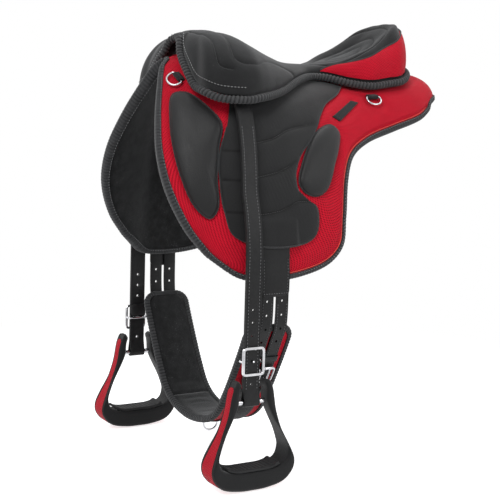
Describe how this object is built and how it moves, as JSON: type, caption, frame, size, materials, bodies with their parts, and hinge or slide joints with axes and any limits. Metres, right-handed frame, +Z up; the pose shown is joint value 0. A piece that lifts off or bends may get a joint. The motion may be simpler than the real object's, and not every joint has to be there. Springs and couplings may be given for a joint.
{
  "type": "endurance saddle",
  "caption": "Soft endurance saddle with red mesh flaps, black quilted fenders and seat, hanging leathers with padded stirrups, and a short girth.",
  "frame": {"origin": "on the middle line, on the ceiling of the gullet under the deepest point of the seat, where the saddle meets the horse's spine", "axes": "+X to the rider's left (the near side), -Y to the front (the pommel), +Z up"},
  "size_m": [0.48, 0.6187, 0.7943],
  "materials": {
    "red_mesh": "fine spacer mesh, matt",
    "black_suede": "brushed suede, very matt",
    "black_quilting": "soft quilted leather with stitched channels",
    "black_binding": "ribbed overlocked edge binding",
    "black_leather": "strap leather, half matt",
    "black_rubber": "moulded rubber, matt",
    "polished_steel": "polished stainless steel"
  },
  "bodies": {
    "saddle": {"flap_left": "red_mesh", "flap_right": "red_mesh", "lining_left": "black_suede", "lining_right": "black_suede", "edge_binding": "black_binding", "panel_left": "black_suede", "panel_right": "black_suede", "fender_left": "black_quilting", "fender_right": "black_quilting", "knee_block_left": "black_quilting", "knee_block_right": "black_quilting", "thigh_block_left": "black_quilting", "thigh_block_right": "black_quilting", "label_patch": "black_quilting", "seat": "black_quilting", "cantle_band": "red_mesh", "seat_binding": "black_binding", "rigging_web": "black_leather", "pommel_arch": "black_rubber", "strap_mount_left": "black_rubber", "strap_mount_right": "black_rubber", "front_ring_tab_left": "black_leather", "front_ring_tab_right": "black_leather", "rear_ring_tab_left": "black_leather", "rear_ring_tab_right": "black_leather"},
    "leather_left": {"strap_hanger_left": "polished_steel", "stirrup_leather_left": "black_leather", "leather_buckle_left": "polished_steel", "leather_tab_left": "black_leather"},
    "leather_right": {"strap_hanger_right": "polished_steel", "stirrup_leather_right": "black_leather", "leather_buckle_right": "polished_steel", "leather_tab_right": "black_leather"},
    "stirrup_left": {"stirrup_frame_left": "black_binding", "stirrup_cover_left": "red_mesh", "stirrup_tread_left": "black_rubber", "stirrup_bolt_left": "polished_steel"},
    "stirrup_right": {"stirrup_frame_right": "black_binding", "stirrup_cover_right": "red_mesh", "stirrup_tread_right": "black_rubber", "stirrup_bolt_right": "polished_steel"},
    "front_ring_left": {"front_ring_left": "polished_steel"},
    "front_ring_right": {"front_ring_right": "polished_steel"},
    "rear_ring_left": {"rear_ring_left": "polished_steel"},
    "rear_ring_right": {"rear_ring_right": "polished_steel"},
    "girth": {"billets_left": "black_leather", "billets_right": "black_leather", "girth_pad": "black_suede", "girth_cover": "red_mesh", "girth_strap": "black_leather", "girth_binding": "black_binding", "girth_buckle_front_left": "polished_steel", "girth_buckle_front_right": "polished_steel", "girth_buckle_rear_left": "polished_steel", "girth_buckle_rear_right": "polished_steel"},
    "tongue_front_left": {"girth_tongue_front_left": "polished_steel"},
    "tongue_front_right": {"girth_tongue_front_right": "polished_steel"},
    "tongue_rear_left": {"girth_tongue_rear_left": "polished_steel"},
    "tongue_rear_right": {"girth_tongue_rear_right": "polished_steel"},
    "girth_ring": {"girth_ring": "polished_steel"}
  },
  "joints": [
    {"name": "leather_left_swing", "type": "hinge", "parent": "saddle", "child": "leather_left", "pos_m": [0.11916, -0.19848, 0.008], "axis": [0.9945, -0.1045, 0], "range_deg": [-20, 20]},
    {"name": "leather_right_swing", "type": "hinge", "parent": "saddle", "child": "leather_right", "pos_m": [-0.11916, -0.19848, 0.008], "axis": [0.9945, 0.1045, 0], "range_deg": [-20, 20]},
    {"name": "stirrup_left_turn", "type": "hinge", "parent": "leather_left", "child": "stirrup_left", "pos_m": [0.217, -0.209, -0.524], "axis": [0, 1, 0], "range_deg": [-40, 40]},
    {"name": "stirrup_right_turn", "type": "hinge", "parent": "leather_right", "child": "stirrup_right", "pos_m": [-0.217, -0.209, -0.524], "axis": [0, -1, 0], "range_deg": [-40, 40]},
    {"name": "front_ring_left_lift", "type": "hinge", "parent": "saddle", "child": "front_ring_left", "pos_m": [0.05358, -0.27185, 0.00738], "axis": [-0.7563, -0.2241, 0.6147], "range_deg": [0, 110]},
    {"name": "front_ring_right_lift", "type": "hinge", "parent": "saddle", "child": "front_ring_right", "pos_m": [-0.05358, -0.27185, 0.00738], "axis": [-0.7563, 0.2241, -0.6147], "range_deg": [0, 110]},
    {"name": "rear_ring_left_lift", "type": "hinge", "parent": "saddle", "child": "rear_ring_left", "pos_m": [0.10718, 0.10236, -0.01405], "axis": [-0.0805, -0.9937, -0.0782], "range_deg": [0, 90]},
    {"name": "rear_ring_right_lift", "type": "hinge", "parent": "saddle", "child": "rear_ring_right", "pos_m": [-0.10718, 0.10236, -0.01405], "axis": [-0.0805, 0.9937, 0.0782], "range_deg": [0, 90]},
    {"name": "girth_swing", "type": "hinge", "parent": "saddle", "child": "girth", "pos_m": [0, -0.16, -0.256], "axis": [1, 0, 0], "range_deg": [-10, 10]},
    {"name": "tongue_front_left_lift", "type": "hinge", "parent": "girth", "child": "tongue_front_left", "pos_m": [0.15629, -0.17475, -0.50875], "axis": [0, 1, 0], "range_deg": [0, 110]},
    {"name": "tongue_front_right_lift", "type": "hinge", "parent": "girth", "child": "tongue_front_right", "pos_m": [-0.15629, -0.17475, -0.50875], "axis": [0, -1, 0], "range_deg": [0, 110]},
    {"name": "tongue_rear_left_lift", "type": "hinge", "parent": "girth", "child": "tongue_rear_left", "pos_m": [0.15629, -0.14525, -0.50875], "axis": [0, 1, 0], "range_deg": [0, 110]},
    {"name": "tongue_rear_right_lift", "type": "hinge", "parent": "girth", "child": "tongue_rear_right", "pos_m": [-0.15629, -0.14525, -0.50875], "axis": [0, -1, 0], "range_deg": [0, 110]},
    {"name": "girth_ring_turn", "type": "hinge", "parent": "girth", "child": "girth_ring", "pos_m": [0, -0.16, -0.613], "axis": [0, 1, 0], "range_deg": [-75, 75]}
  ]
}
